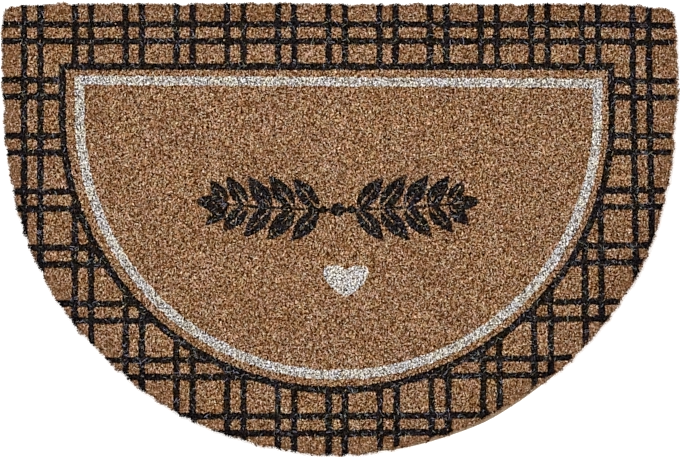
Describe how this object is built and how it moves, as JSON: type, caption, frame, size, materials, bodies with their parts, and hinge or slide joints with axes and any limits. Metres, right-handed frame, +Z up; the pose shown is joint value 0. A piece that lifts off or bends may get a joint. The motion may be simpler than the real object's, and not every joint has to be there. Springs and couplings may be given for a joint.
{
  "type": "coir doormat",
  "caption": "Half-round coir doormat with a straight back edge: a slab of upright coir bristles, ragged at its rim, standing in a thin flat vinyl sheet.",
  "frame": {"origin": "on the resting plane, under the middle of the mat's box", "axes": "+Z up out of the pile, +Y towards the straight back edge, +X along the straight edge to its right as seen from above with that edge away from the viewer"},
  "size_m": [0.602, 0.4026, 0.015],
  "materials": {
    "coir": "coarse matt coir bristle, natural brown, printed black and white",
    "vinyl": "matt moulded vinyl, tan"
  },
  "bodies": {
    "root": {"coir_pile": "coir", "vinyl_base": "vinyl"}
  },
  "joints": []
}
